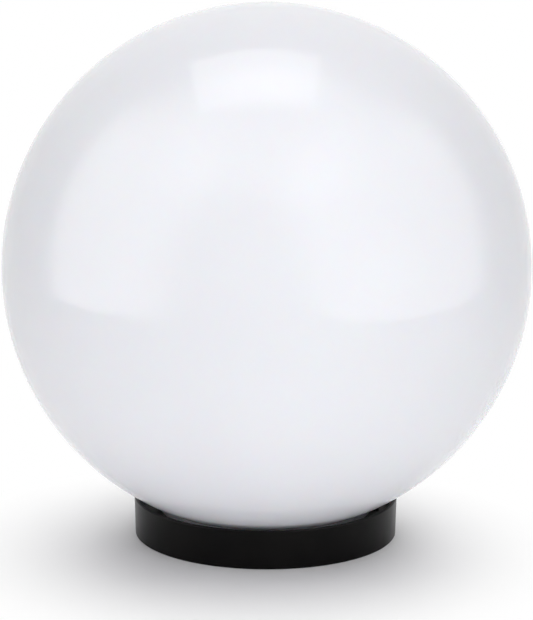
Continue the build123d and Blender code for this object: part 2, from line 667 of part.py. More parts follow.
for label, side in (("live_terminal", -1), ("neutral_terminal", 1)):
    with BuildPart() as terminal:
        with BuildSketch(Plane.XY.offset(TERMINAL_BOTTOM_Z)):
            with Locations((side * RIVET_X, 0)):
                Rectangle(TERMINAL_WIDTH, TERMINAL_LENGTH)
        extrude(amount=TERMINAL_TOP_Z - TERMINAL_BOTTOM_Z)
        with BuildSketch(Plane.XY.offset(TERMINAL_BOTTOM_Z)):
            with Locations((side * RIVET_X, TERMINAL_HOLE_Y)):
                Circle(TERMINAL_HOLE_RADIUS)
        extrude(amount=TERMINAL_HOLE_DEPTH, mode=Mode.SUBTRACT)
        with BuildSketch(Plane.XZ.offset(TERMINAL_LENGTH / 2)):
            with Locations((side * RIVET_X, TERMINAL_SCREW_Z)):
                Circle(TERMINAL_SCREW_RADIUS)
        extrude(amount=-(TERMINAL_LENGTH / 2 + TERMINAL_HOLE_Y), mode=Mode.SUBTRACT)
    save(terminal, label)

terminal_screw_seat_y = TERMINAL_LENGTH / 2 + TERMINAL_SCREW_GAP
terminal_clamp_screws = pan_screws(
    Plane.XZ.offset(terminal_screw_seat_y),
    [(RIVET_X, TERMINAL_SCREW_Z), (-RIVET_X, TERMINAL_SCREW_Z)],
    terminal_screw_seat_y + TERMINAL_HOLE_Y - WIRE_RADIUS,
    TERMINAL_SCREW_RADIUS,
    TERMINAL_SCREW_HEAD_RADIUS,
)
save(terminal_clamp_screws, "terminal_clamp_screws")

# ---- terminal block -----------------------------------------------------------------------------

clamp_places = [
    (x, BLOCK_CENTRE_Y + y)
    for x in (-POLE_X, POLE_X)
    for y in (-CLAMP_SPACING / 2, CLAMP_SPACING / 2)
]
block_top_z = FLOOR_TOP_Z + BLOCK_Z

with BuildPart() as terminal_block_body:
    with BuildSketch(Plane.XY.offset(FLOOR_TOP_Z)):
        with Locations((0, BLOCK_CENTRE_Y)):
            RectangleRounded(BLOCK_X, BLOCK_Y, BLOCK_CORNER)
    extrude(amount=BLOCK_Z)
    chamfer(terminal_block_body.edges().group_by(Axis.Z)[-1], length=BLOCK_CHAMFER)
    with BuildSketch(Plane.XZ.offset(-BLOCK_CENTRE_Y)):
        with Locations((POLE_X, POLE_Z), (-POLE_X, POLE_Z)):
            Circle(INSERT_RADIUS)
    extrude(amount=BLOCK_Y / 2, both=True, mode=Mode.SUBTRACT)
    with BuildSketch(Plane.XY.offset(block_top_z)):
        with Locations(*clamp_places):
            Circle(CLAMP_ACCESS_RADIUS)
    extrude(amount=POLE_Z - block_top_z, mode=Mode.SUBTRACT)
    with BuildSketch(Plane.XY.offset(FLOOR_TOP_Z)):
        with Locations((0, BLOCK_CENTRE_Y)):
            Circle(BLOCK_HOLE_RADIUS)
    extrude(amount=BLOCK_Z, mode=Mode.SUBTRACT)
    with BuildSketch(Plane.XY.offset(BLOCK_SEAT_Z)):
        with Locations((0, BLOCK_CENTRE_Y)):
            Circle(BLOCK_HEAD_RADIUS + SEAT_CLEARANCE / 2)
    extrude(amount=block_top_z - BLOCK_SEAT_Z, mode=Mode.SUBTRACT)
save(terminal_block_body, "terminal_block_body")

with BuildPart() as terminal_block_inserts:
    with BuildSketch(Plane.XZ.offset(-BLOCK_CENTRE_Y)):
        with Locations((POLE_X, POLE_Z), (-POLE_X, POLE_Z)):
            Circle(INSERT_RADIUS)
            Circle(INSERT_BORE_RADIUS, mode=Mode.SUBTRACT)
    extrude(amount=INSERT_LENGTH / 2, both=True)
    with BuildSketch(Plane.XY.offset(block_top_z)):
        with Locations(*clamp_places):
            Circle(CLAMP_SCREW_RADIUS)
    extrude(amount=POLE_Z - block_top_z, mode=Mode.SUBTRACT)
save(terminal_block_inserts, "terminal_block_inserts")

clamp_tip_z = POLE_Z + WIRE_RADIUS
terminal_block_clamp_screws = pan_screws(
    Plane.XY.offset(CLAMP_SEAT_Z),
    clamp_places,
    CLAMP_SEAT_Z - clamp_tip_z,
    CLAMP_SCREW_RADIUS,
    CLAMP_HEAD_RADIUS,
)
save(terminal_block_clamp_screws, "terminal_block_clamp_screws")

terminal_block_fixing_screw = pan_screws(
    Plane.XY.offset(BLOCK_SEAT_Z),
    [(0, BLOCK_CENTRE_Y)],
    BLOCK_SEAT_Z - BLOCK_SCREW_TIP_Z,
    PILOT_RADIUS,
    BLOCK_HEAD_RADIUS,
)
save(terminal_block_fixing_screw, "terminal_block_fixing_screw")

# ---- inner wires --------------------------------------------------------------------------------

for label, side in (("live_wire", -1), ("neutral_wire", 1)):
    route_points = [
        (side * POLE_X, WIRE_START_Y, POLE_Z),
        (side * POLE_X, WIRE_FRONT_Y, POLE_Z),
        (side * POLE_X, WIRE_FRONT_Y, WIRE_HIGH_Z),
        (side * RIVET_X, TERMINAL_HOLE_Y, WIRE_HIGH_Z),
        (side * RIVET_X, TERMINAL_HOLE_Y, WIRE_END_Z),
    ]
    radii = wire_radii(route_points)
    with BuildPart() as wire:
        with BuildLine() as route:
            FilletPolyline(*route_points, radius=radii)
        with BuildSketch(Plane(origin=route.line @ 0, z_dir=route.line % 0)):
            Circle(WIRE_RADIUS)
        sweep()
    save(wire, label)
    swept = math.pi * WIRE_RADIUS ** 2 * route.wire().length
    print(label, "radii", [round(r, 2) for r in radii], "volume over section x length",
          round(wire.part.volume / swept, 4))

# ---- lamp ---------------------------------------------------------------------------------------

inner_bulb_end = math.sqrt(LAMP_BULB_INNER_RADIUS ** 2 - (LAMP_BULB_CENTRE_Z - LAMP_JOINT_Z) ** 2)

with BuildPart() as lamp_envelope:
    with BuildSketch(Plane.XZ):
        with BuildLine():
            ThreePointArc(
                (LAMP_JOINT_RADIUS, LAMP_JOINT_Z),
                (LAMP_BULB_RADIUS, LAMP_BULB_CENTRE_Z),
                (0, LAMP_BULB_CENTRE_Z + LAMP_BULB_RADIUS),
            )
            Line(
                (0, LAMP_BULB_CENTRE_Z + LAMP_BULB_RADIUS),
                (0, LAMP_BULB_CENTRE_Z + LAMP_BULB_INNER_RADIUS),
            )
            ThreePointArc(
                (0, LAMP_BULB_CENTRE_Z + LAMP_BULB_INNER_RADIUS),
                (LAMP_BULB_INNER_RADIUS, LAMP_BULB_CENTRE_Z),
                (inner_bulb_end, LAMP_JOINT_Z),
            )
            Line((inner_bulb_end, LAMP_JOINT_Z), (LAMP_JOINT_RADIUS, LAMP_JOINT_Z))
        make_face()
    revolve(axis=Axis.Z)
save(lamp_envelope, "lamp_envelope")

waist_z = (LAMP_HOUSING_BOTTOM_Z + LAMP_JOINT_Z) / 2
skirt_inner_radius = SKIRT_RADIUS - CAP_SHEET
housing_inner_bottom = LAMP_HOUSING_BOTTOM_RADIUS - LAMP_HOUSING_WALL

with BuildPart() as lamp_housing:
    with BuildSketch(Plane.XZ):
        with BuildLine():
            Polyline(
                (HOUSING_COLLAR_BORE_RADIUS, HOUSING_COLLAR_Z),
                (skirt_inner_radius, HOUSING_COLLAR_Z),
                (skirt_inner_radius, LAMP_HOUSING_BOTTOM_Z),
                (LAMP_HOUSING_BOTTOM_RADIUS, LAMP_HOUSING_BOTTOM_Z),
            )
            ThreePointArc(
                (LAMP_HOUSING_BOTTOM_RADIUS, LAMP_HOUSING_BOTTOM_Z),
                (HOUSING_WAIST_RADIUS, waist_z),
                (LAMP_JOINT_RADIUS, LAMP_JOINT_Z),
            )
            Line(
                (LAMP_JOINT_RADIUS, LAMP_JOINT_Z),
                (LAMP_JOINT_RADIUS - LAMP_HOUSING_WALL, LAMP_JOINT_Z),
            )
            ThreePointArc(
                (LAMP_JOINT_RADIUS - LAMP_HOUSING_WALL, LAMP_JOINT_Z),
                (HOUSING_WAIST_RADIUS - LAMP_HOUSING_WALL, waist_z),
                (housing_inner_bottom, LAMP_HOUSING_BOTTOM_Z),
            )
            Polyline(
                (housing_inner_bottom, LAMP_HOUSING_BOTTOM_Z),
                (HOUSING_COLLAR_BORE_RADIUS, LAMP_HOUSING_BOTTOM_Z),
                (HOUSING_COLLAR_BORE_RADIUS, HOUSING_COLLAR_Z),
            )
        make_face()
    revolve(axis=Axis.Z)
    with BuildSketch(Plane.XY.offset(LED_BOARD_Z)):
        Circle(LEDGE_OUTER_RADIUS)
        Circle(LEDGE_INNER_RADIUS, mode=Mode.SUBTRACT)
    extrude(amount=-LEDGE_THICKNESS)
save(lamp_housing, "lamp_housing")

cap_ridge = thread_ridge(CAP_ROOT_RADIUS, CAP_CREST_RADIUS, CAP_THREAD_Z, CAP_THREAD_TURNS)

with BuildPart() as lamp_cap:
    with BuildSketch(Plane.XZ):
        Polygon(
            (CAP_ROOT_RADIUS, CAP_BOTTOM_Z),
            (CAP_ROOT_RADIUS, SKIRT_START_Z),
            (SKIRT_RADIUS, SKIRT_START_Z + SKIRT_FLARE_HEIGHT),
            (SKIRT_RADIUS, LAMP_HOUSING_BOTTOM_Z),
            (skirt_inner_radius, LAMP_HOUSING_BOTTOM_Z),
            (skirt_inner_radius, SKIRT_START_Z + SKIRT_FLARE_HEIGHT),
            (CAP_BORE_RADIUS, SKIRT_START_Z),
            (CAP_BORE_RADIUS, CAP_BOTTOM_Z),
            align=None,
        )
    revolve(axis=Axis.Z)
    add(cap_ridge, clean=False)
save(lamp_cap, "lamp_cap")

with BuildPart() as lamp_cap_insulator:
    with BuildSketch(Plane.XZ):
        Polygon(
            (TIP_PIN_RADIUS + TIP_PIN_CLEARANCE, TIP_TOP_Z),
            (INSULATOR_BOTTOM_RADIUS, TIP_TOP_Z),
            (CAP_BORE_RADIUS, CAP_BOTTOM_Z),
            (CAP_BORE_RADIUS, INSULATOR_TOP_Z),
            (TIP_PIN_RADIUS + TIP_PIN_CLEARANCE, INSULATOR_TOP_Z),
            align=None,
        )
    revolve(axis=Axis.Z)
save(lamp_cap_insulator, "lamp_cap_insulator")

with BuildPart() as lamp_tip_contact:
    with BuildSketch(Plane.XY.offset(CONTACT_TOP_Z)):
        Circle(TIP_RADIUS)
    extrude(amount=TIP_THICKNESS)
    chamfer(lamp_tip_contact.edges().group_by(Axis.Z)[0], length=TIP_CHAMFER)
    with BuildSketch(Plane.XY.offset(TIP_TOP_Z)):
        Circle(TIP_PIN_RADIUS)
    extrude(amount=INSULATOR_TOP_Z - TIP_TOP_Z)
save(lamp_tip_contact, "lamp_tip_contact")

with BuildPart() as lamp_tip_lead:
    with BuildSketch(Plane.XY.offset(INSULATOR_TOP_Z)):
        Circle(LEAD_RADIUS)
    extrude(amount=DRIVER_BOTTOM_Z - INSULATOR_TOP_Z)
save(lamp_tip_lead, "lamp_tip_lead")

pin_y = DRIVER_THICKNESS / 2 + PIN_RADIUS
pin_places = [(PIN_X, pin_y), (-PIN_X, pin_y)]

with BuildPart() as led_board:
    with BuildSketch(Plane.XY.offset(LED_BOARD_Z)):
        Circle(LED_BOARD_RADIUS)
        with Locations(*pin_places):
            Circle(PIN_RADIUS, mode=Mode.SUBTRACT)
    extrude(amount=LED_BOARD_THICKNESS)
save(led_board, "led_board")

with BuildPart() as led_chips:
    with BuildSketch(Plane.XY.offset(LED_BOARD_Z + LED_BOARD_THICKNESS)):
        with PolarLocations(LED_CIRCLE_RADIUS, LED_COUNT):
            Rectangle(LED_SIZE, LED_SIZE)
    extrude(amount=LED_HEIGHT)
save(led_chips, "led_chips")

with BuildPart() as driver_board:
    with BuildSketch(Plane.XY.offset(DRIVER_BOTTOM_Z)):
        Rectangle(DRIVER_WIDTH, DRIVER_THICKNESS)
    extrude(amount=DRIVER_TOP_Z - DRIVER_BOTTOM_Z)
save(driver_board, "driver_board")

with BuildPart() as driver_capacitor:
    with BuildSketch(Plane.XY.offset(CAPACITOR_BOTTOM_Z)):
        with Locations((0, -DRIVER_THICKNESS / 2 - CAPACITOR_RADIUS)):
            Circle(CAPACITOR_RADIUS)
    extrude(amount=CAPACITOR_TOP_Z - CAPACITOR_BOTTOM_Z)
    fillet(driver_capacitor.edges().filter_by(GeomType.CIRCLE), radius=CAPACITOR_ROUNDING)
save(driver_capacitor, "driver_capacitor")

with BuildPart() as driver_pins:
    with BuildSketch(Plane.XY.offset(PIN_BOTTOM_Z)):
        with Locations(*pin_places):
            Circle(PIN_RADIUS)
    extrude(amount=LED_BOARD_Z + LED_BOARD_THICKNESS + PIN_STAND_OUT - PIN_BOTTOM_Z)
save(driver_pins, "driver_pins")
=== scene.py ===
"""Garden globe light: the globe's mesh, all finishes, floor, light and camera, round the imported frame.

Metres, in the frame's own axes. -Y faces the camera.
"""

import bmesh
import bpy
import json
import math
from mathutils import Matrix, Vector


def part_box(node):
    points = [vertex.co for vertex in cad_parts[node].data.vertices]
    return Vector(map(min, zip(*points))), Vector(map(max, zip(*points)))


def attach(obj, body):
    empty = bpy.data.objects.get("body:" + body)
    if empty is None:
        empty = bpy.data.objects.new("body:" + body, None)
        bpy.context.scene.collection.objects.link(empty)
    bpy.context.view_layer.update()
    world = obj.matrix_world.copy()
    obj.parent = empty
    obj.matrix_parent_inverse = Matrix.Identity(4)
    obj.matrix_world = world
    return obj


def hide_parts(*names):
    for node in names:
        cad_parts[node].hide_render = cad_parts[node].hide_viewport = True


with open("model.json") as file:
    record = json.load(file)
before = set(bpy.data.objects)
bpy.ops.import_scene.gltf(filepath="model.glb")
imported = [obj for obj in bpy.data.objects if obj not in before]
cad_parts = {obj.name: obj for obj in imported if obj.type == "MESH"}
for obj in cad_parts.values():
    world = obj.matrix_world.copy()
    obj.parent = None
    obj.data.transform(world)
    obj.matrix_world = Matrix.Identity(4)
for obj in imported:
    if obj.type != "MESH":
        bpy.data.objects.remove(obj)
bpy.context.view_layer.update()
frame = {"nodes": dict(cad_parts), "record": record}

# ---- sizes --------------------------------------------------------------------------------------

GLOBE_LOW, GLOBE_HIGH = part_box("globe")
GLOBE_RADIUS = min(GLOBE_HIGH.x, GLOBE_HIGH.y, -GLOBE_LOW.x, -GLOBE_LOW.y)
GLOBE_WALL = 0.0022
GLOBE_CENTRE_Z = GLOBE_HIGH.z - GLOBE_RADIUS
NECK_RADIUS = 0.050
NECK_BORE_RADIUS = 0.0475
NECK_END_Z = GLOBE_LOW.z
LUG_RADIUS = 0.054
LUG_HEIGHT = 0.003
LUG_ANGLES = (90.0, 210.0, 330.0)
LUG_HALF_ANGLE = 12.0
TURN_SEGMENTS = 360
ARC_SEGMENTS = 160
ON_AXIS = 1e-7
MERGE_DISTANCE = 1e-6
SHARP_ANGLE = 30.0

# the photograph's view: distance from the globe's centre, and angles in degrees
VIEW_DISTANCE = 1.5
VIEW_ELEVATION = 12.1
VIEW_PITCH = 12.873
VIEW_ROLL = 0.27
GLOBE_RADIUS_PX = 265.4
FRAME_LONG_PX = 620
SENSOR_MM = 36.0
CLIP_START = 0.05
CLIP_END = 60.0

# floor and world
FLOOR_HALF = 8.0
FLOOR_COLOUR = (0.92, 0.92, 0.92)
FLOOR_ROUGHNESS = 0.9
FLOOR_FADE_CENTRE = (-0.008, -0.032, 0.0)
FLOOR_FADE_START = 0.048
FLOOR_FADE_END = 0.155
WORLD_LEVEL = 0.03

# name, azimuth, elevation, distance, width, height, radiance, soft edge, what it is seen by
AIMED_LIGHTS = (
    ("front_key", -12, 14, 2.4, 2.0, 1.6, 2.1, 0.0, "diffuse"),
    ("left_side", -95, 25, 2.4, 1.4, 1.6, 0.75, 0.0, "diffuse"),
    ("right_side", 90, 25, 2.4, 1.4, 1.6, 0.85, 0.0, "diffuse"),
    ("low_front", 0, 4, 2.4, 2.8, 0.3, 4.8, 0.0, "diffuse"),
    ("low_left", -50, 4, 2.4, 1.6, 0.3, 2.0, 0.0, "diffuse"),
    ("low_right", 60, 4, 2.4, 1.6, 0.3, 6.6, 0.0, "diffuse"),
    ("back_fill", 180, 25, 2.4, 2.0, 1.4, 3.5, 0.0, "diffuse"),
    ("left_panel", -68, 20, 0.62, 1.04, 1.48, 2.7, 0.34, "glossy"),
    ("right_panel", 58, 20, 0.62, 1.59, 1.48, 2.1, 0.32, "glossy"),
    ("front_top_panel", 0, 72, 1.5, 2.60, 2.50, 1.65, 0.30, "glossy"),
)

# name, left, right, front, back, height, radiance, soft edge, what it is seen by
OVERHEAD_LIGHTS = (
    ("overhead_softbox", -0.41, 0.27, -0.15, 0.43, 1.00, 1.85, 0.0, "glossy"),
    ("overhead_core", -0.20, 0.23, -0.12, 0.24, 0.98, 0.55, 0.25, "glossy"),
    ("overhead_fill", -0.65, 0.65, -0.65, 0.65, 1.10, 1.66, 0.0, "diffuse"),
)


# ---- small helpers ------------------------------------------------------------------------------

def new_object(name, mesh):
    """Link a mesh to the scene as an object."""
    made = bpy.data.objects.new(name, mesh)
    bpy.context.scene.collection.objects.link(made)
    return made


def arc_points(radius, centre_z, start, end, count):
    """Points (distance from axis, height) on a circle about (0, centre_z); angles from straight up."""
    points = []
    for i in range(count + 1):
        a = start + (end - start) * i / count
        points.append((radius * math.sin(a), centre_z + radius * math.cos(a)))
    return points


# ---- camera -------------------------------------------------------------------------------------

def make_camera():
    """The photograph's camera, set from the globe's size in it."""
    focal_px = GLOBE_RADIUS_PX * math.sqrt((VIEW_DISTANCE / GLOBE_RADIUS) ** 2 - 1)
    data = bpy.data.cameras.new("camera")
    data.sensor_width = SENSOR_MM
    data.lens = focal_px * SENSOR_MM / FRAME_LONG_PX
    data.clip_start = CLIP_START
    data.clip_end = CLIP_END
    camera = bpy.data.objects.new("camera", data)
    bpy.context.scene.collection.objects.link(camera)
    elevation = math.radians(VIEW_ELEVATION)
    pitch = math.radians(VIEW_PITCH)
    roll = math.radians(VIEW_ROLL)
    centre = Vector((0, 0, GLOBE_CENTRE_Z))
    place = centre + VIEW_DISTANCE * Vector((0, -math.cos(elevation), math.sin(elevation)))
    forward = Vector((0, math.cos(pitch), -math.sin(pitch)))
    level_right = Vector((1, 0, 0))
    level_up = Vector((0, math.sin(pitch), math.cos(pitch)))
    right = level_right * math.cos(roll) + level_up * math.sin(roll)
    up = level_up * math.cos(roll) - level_right * math.sin(roll)
    turn = Matrix((right, up, -forward)).transposed()
    camera.matrix_world = Matrix.Translation(place) @ turn.to_4x4()
    bpy.context.scene.camera = camera


# ---- materials ----------------------------------------------------------------------------------

class Finish:
    """A node material built round one Principled shader."""

    def __init__(self, name):
        self.material = bpy.data.materials.new(name)
        self.material.use_nodes = True
        self.tree = self.material.node_tree
        self.nodes = self.tree.nodes
        self.shader = self.nodes["Principled BSDF"]
        self.place = self.nodes.new("ShaderNodeTexCoord").outputs["Object"]

    def set(self, **values):
        """Set constant sockets of the shader; underscores stand for spaces."""
        for key, value in values.items():
            self.shader.inputs[key.replace("_", " ")].default_value = value
        return self

    def cells(self, scale):
        """Distance to the middle of the nearest cell, for a number of cells per metre."""
        node = self.nodes.new("ShaderNodeTexVoronoi")
        node.inputs["Scale"].default_value = scale
        self.tree.links.new(self.place, node.inputs["Vector"])
        return node.outputs["Distance"]

    def noise(self, scale, detail=3.0, stretch=(1, 1, 1)):
        """Noise of a scale per metre, in the object's own space."""
        mapping = self.nodes.new("ShaderNodeMapping")
        mapping.inputs["Scale"].default_value = stretch
        self.tree.links.new(self.place, mapping.inputs["Vector"])
        node = self.nodes.new("ShaderNodeTexNoise")
        node.inputs["Scale"].default_value = scale
        node.inputs["Detail"].default_value = detail
        self.tree.links.new(mapping.outputs["Vector"], node.inputs["Vector"])
        return node.outputs["Fac"]

    def ramp(self, value, low, high, start=0.35, end=0.65):
        """Colour between low and high as value goes from start to end."""
        node = self.nodes.new("ShaderNodeValToRGB")
        node.color_ramp.elements[0].position = start
        node.color_ramp.elements[0].color = (*low, 1)
        node.color_ramp.elements[1].position = end
        node.color_ramp.elements[1].color = (*high, 1)
        self.tree.links.new(value, node.inputs["Fac"])
        return node.outputs["Color"]

    def span(self, value, low, high, start=0.35, end=0.65):
        """Number between low and high as value goes from start to end."""
        node = self.nodes.new("ShaderNodeMapRange")
        node.inputs["From Min"].default_value = start
        node.inputs["From Max"].default_value = end
        node.inputs["To Min"].default_value = low
        node.inputs["To Max"].default_value = high
        self.tree.links.new(value, node.inputs["Value"])
        return node.outputs["Result"]

    def colour(self, low, high, scale, **noise):
        """Base colour that drifts between low and high."""
        found = self.ramp(self.noise(scale, **noise), low, high)
        self.tree.links.new(found, self.shader.inputs["Base Color"])
        return self

    def roughness(self, low, high, scale, **noise):
        """Roughness that drifts between low and high."""
        found = self.span(self.noise(scale, **noise), low, high)
        self.tree.links.new(found, self.shader.inputs["Roughness"])
        return self

    def relief(self, height, depth, strength=1.0):
        """Relief from a height between 0 and 1, of a depth in metres."""
        node = self.nodes.new("ShaderNodeBump")
        node.inputs["Strength"].default_value = strength
        node.inputs["Distance"].default_value = depth
        self.tree.links.new(height, node.inputs["Height"])
        self.tree.links.new(node.outputs["Normal"], self.shader.inputs["Normal"])
        return self

    def bump(self, depth, scale, strength=1.0, **noise):
        """Fine uneven relief, of a depth in metres."""
        return self.relief(self.noise(scale, **noise), depth, strength)


def opal_acrylic():
    """Glossy opal acrylic: milky, with a weak, nearly even shine."""
    finish = Finish("opal_acrylic")
    finish.colour((0.835, 0.825, 0.872), (0.850, 0.841, 0.885), 9.0, detail=2.0)
    finish.roughness(0.07, 0.11, 30.0)
    finish.bump(0.00002, 60.0, strength=0.3)
    finish.set(Subsurface_Weight=0.15, Subsurface_Scale=0.006)
    return finish.set(IOR=1.49, Specular_IOR_Level=0.30).material


def black_plastic():
    """Satin black moulded plastic with a fine grain and a slightly uneven gloss."""
    finish = Finish("black_plastic")
    finish.colour((0.0020, 0.0019, 0.0020), (0.0036, 0.0033, 0.0032), 60.0)
    finish.roughness(0.29, 0.33, 180.0, stretch=(1, 1, 0.4))
    finish.bump(0.00002, 2500.0, strength=0.3, detail=2.0)
    return finish.set(Specular_IOR_Level=0.075).material


def moulded(name, low, high, rough, grain=0.00001, grain_scale=2000.0, **constants):
    """Moulded plastic or rubber: its tone and gloss drift, and it has a fine grain."""
    finish = Finish(name)
    finish.colour(low, high, 70.0)
    finish.roughness(rough - 0.05, rough + 0.05, 160.0)
    finish.bump(grain, grain_scale, strength=0.4, detail=2.0)
    return finish.set(**constants).material


def metal(name, low, high, rough, marks=(1, 1, 9)):
    """Bare or plated metal with fine tool marks, which run round its upright axis."""
    finish = Finish(name)
    finish.colour(low, high, 45.0)
    finish.roughness(rough - 0.07, rough + 0.09, 240.0, stretch=marks)
    finish.bump(0.000006, 700.0, strength=0.6, stretch=marks)
    return finish.set(Metallic=1.0).material


def seal_rubber():
    """Black sealing rubber with a dull bloom."""
    return moulded("seal_rubber", (0.010, 0.010, 0.010), (0.021, 0.020, 0.019), 0.70, 0.00002, 1500.0)


def foam_rubber():
    """Dark closed cell foam, its skin dimpled by cells a little under a millimetre across."""
    finish = Finish("foam_rubber")
    finish.colour((0.016, 0.016, 0.017), (0.034, 0.034, 0.036), 300.0)
    finish.roughness(0.85, 0.97, 400.0)
    return finish.relief(finish.cells(1300.0), 0.00025, 0.8).material


def pillar_plastic():
    """Off-white heat resistant plastic."""
    return moulded("pillar_plastic", (0.62, 0.61, 0.57), (0.70, 0.69, 0.65), 0.42, 0.00002, 1200.0)


def porcelain():
    """Glazed white porcelain: a wavy glaze with a few darker specks of the body in it."""
    finish = Finish("porcelain")
    finish.colour((0.66, 0.645, 0.60), (0.76, 0.75, 0.72), 900.0, detail=6.0)
    finish.roughness(0.06, 0.14, 80.0)
    finish.bump(0.00006, 260.0, strength=0.35, detail=1.0)
    return finish.set(Coat_Weight=0.5, Coat_Roughness=0.05).material


def brass():
    """Drawn brass, slightly dulled in patches."""
    return metal("brass", (0.47, 0.32, 0.12), (0.68, 0.49, 0.21), 0.30)


def zinc_steel():
    """Zinc plated steel with the plating's pale blue cast."""
    return metal("zinc_steel", (0.44, 0.46, 0.49), (0.60, 0.62, 0.64), 0.36)


def block_plastic():
    """Translucent natural nylon of a terminal block."""
    return moulded("block_plastic", (0.64, 0.63, 0.58), (0.73, 0.72, 0.68), 0.45,
                   Subsurface_Weight=0.3, Subsurface_Scale=0.002)


def live_insulation():
    """Brown silicone sleeving."""
    return moulded("live_insulation", (0.085, 0.030, 0.012), (0.120, 0.045, 0.019), 0.50)


def neutral_insulation():
    """Blue silicone sleeving."""
    return moulded("neutral_insulation", (0.012, 0.065, 0.230), (0.020, 0.090, 0.300), 0.50)


def lamp_diffuser():
    """Frosted white plastic of the lamp's bulb."""
    return moulded("lamp_diffuser", (0.78, 0.78, 0.77), (0.84, 0.84, 0.83), 0.48, 0.000015, 3000.0,
                   Subsurface_Weight=0.3, Subsurface_Scale=0.003)


def lamp_shell():
    """White plastic of the lamp's neck, smoother than its bulb."""
    return moulded("lamp_shell", (0.74, 0.74, 0.73), (0.80, 0.80, 0.79), 0.32)


def nickel():
    """Nickel plating of the lamp's cap, with rolled marks."""
    return metal("nickel", (0.52, 0.49, 0.44), (0.66, 0.63, 0.58), 0.26)


def cap_glass():
    """Black glass between the cap's shell and its tip, with flow ripples."""
    finish = Finish("cap_glass")
    finish.colour((0.004, 0.004, 0.006), (0.012, 0.011, 0.015), 200.0)
    finish.roughness(0.05, 0.12, 300.0)
    return finish.bump(0.0001, 350.0, strength=0.4, detail=1.0).material


def led_plate():
    """Aluminium board under white lacquer, in which the tracks show as pale cells."""
    finish = Finish("led_plate")
    tracks = finish.ramp(finish.cells(260.0), (0.80, 0.80, 0.79), (0.66, 0.67, 0.67), 0.52, 0.58)
    finish.tree.links.new(tracks, finish.shader.inputs["Base Color"])
    finish.roughness(0.34, 0.46, 200.0)
    return finish.bump(0.00001, 900.0, strength=0.4).material


def led_phosphor():
    """Yellow phosphor gel, grained by its powder."""
    return moulded("led_phosphor", (0.72, 0.52, 0.10), (0.84, 0.66, 0.20), 0.30, 0.00003, 4500.0,
                   Subsurface_Weight=0.2, Subsurface_Scale=0.0005)


def circuit_board():
    """Green lacquer over copper tracks that show lighter through it."""
    finish = Finish("circuit_board")
    tracks = finish.ramp(finish.cells(380.0), (0.010, 0.070, 0.028), (0.030, 0.150, 0.055), 0.40, 0.46)
    finish.tree.links.new(tracks, finish.shader.inputs["Base Color"])
    finish.roughness(0.26, 0.38, 300.0)
    return finish.relief(finish.cells(380.0), 0.00003, 0.4).material


def capacitor_sleeve():
    """Dark shrink sleeve with faint creases."""
    return moulded("capacitor_sleeve", (0.010, 0.014, 0.022), (0.018, 0.023, 0.034), 0.30,
                   0.00005, 500.0)


FINISHES = (opal_acrylic, black_plastic, seal_rubber, foam_rubber, pillar_plastic, porcelain, brass,
            zinc_steel, block_plastic, live_insulation, neutral_insulation, lamp_diffuser, lamp_shell,
            nickel, cap_glass, led_plate, led_phosphor, circuit_board, capacitor_sleeve)


def make_finishes():
    """One material for each of the record's slots, by the slot's name."""
    return {finish.__name__: finish() for finish in FINISHES}


def paint_nodes(finishes):
    """Give every node of the frame the finish of its slot in the record."""
    for part in frame["record"]["subparts"]:
        for slot in frame["nodes"][part["node"]].material_slots:
            slot.material = finishes[part["material_slot"]]


# ---- globe --------------------------------------------------------------------------------------

def on_lug(angle):
    """Whether an angle in degrees lies on one of the neck's catches."""
    return any(abs((angle - middle + 180.0) % 360.0 - 180.0) < LUG_HALF_ANGLE for middle in LUG_ANGLES)


def lathe(name, outline, segments):
    """Closed surface of revolution about Z.

    An outline point is (radius, height), with a third value where the radius differs on the catches.
    Points on the axis become one vertex.
    """
    vertices, rings = [], []
    for radius, height, *lug_radius in outline:
        if radius < ON_AXIS:
            rings.append([len(vertices)])
            vertices.append((0, 0, height))
            continue
        rings.append(list(range(len(vertices), len(vertices) + segments)))
        for i in range(segments):
            a = 2 * math.pi * i / segments
            reach = lug_radius[0] if lug_radius and on_lug(math.degrees(a)) else radius
            vertices.append((reach * math.cos(a), reach * math.sin(a), height))
    faces = []
    for below, above in zip(rings, rings[1:]):
        for i in range(segments):
            j = (i + 1) % segments
            if len(below) == 1:
                faces.append((below[0], above[j], above[i]))
            elif len(above) == 1:
                faces.append((below[i], below[j], above[0]))
            else:
                faces.append((below[i], below[j], above[j], above[i]))
    mesh = bpy.data.meshes.new(name)
    mesh.from_pydata(vertices, [], faces)
    clean(mesh)
    return new_object(name, mesh)


def clean(mesh):
    """Merge points that coincide, point all faces outwards and mark the sharp edges."""
    work = bmesh.new()
    work.from_mesh(mesh)
    bmesh.ops.remove_doubles(work, verts=work.verts, dist=MERGE_DISTANCE)
    bmesh.ops.recalc_face_normals(work, faces=work.faces)
    work.to_mesh(mesh)
    work.free()
    mesh.shade_smooth()
    mesh.set_sharp_from_angle(angle=math.radians(SHARP_ANGLE))


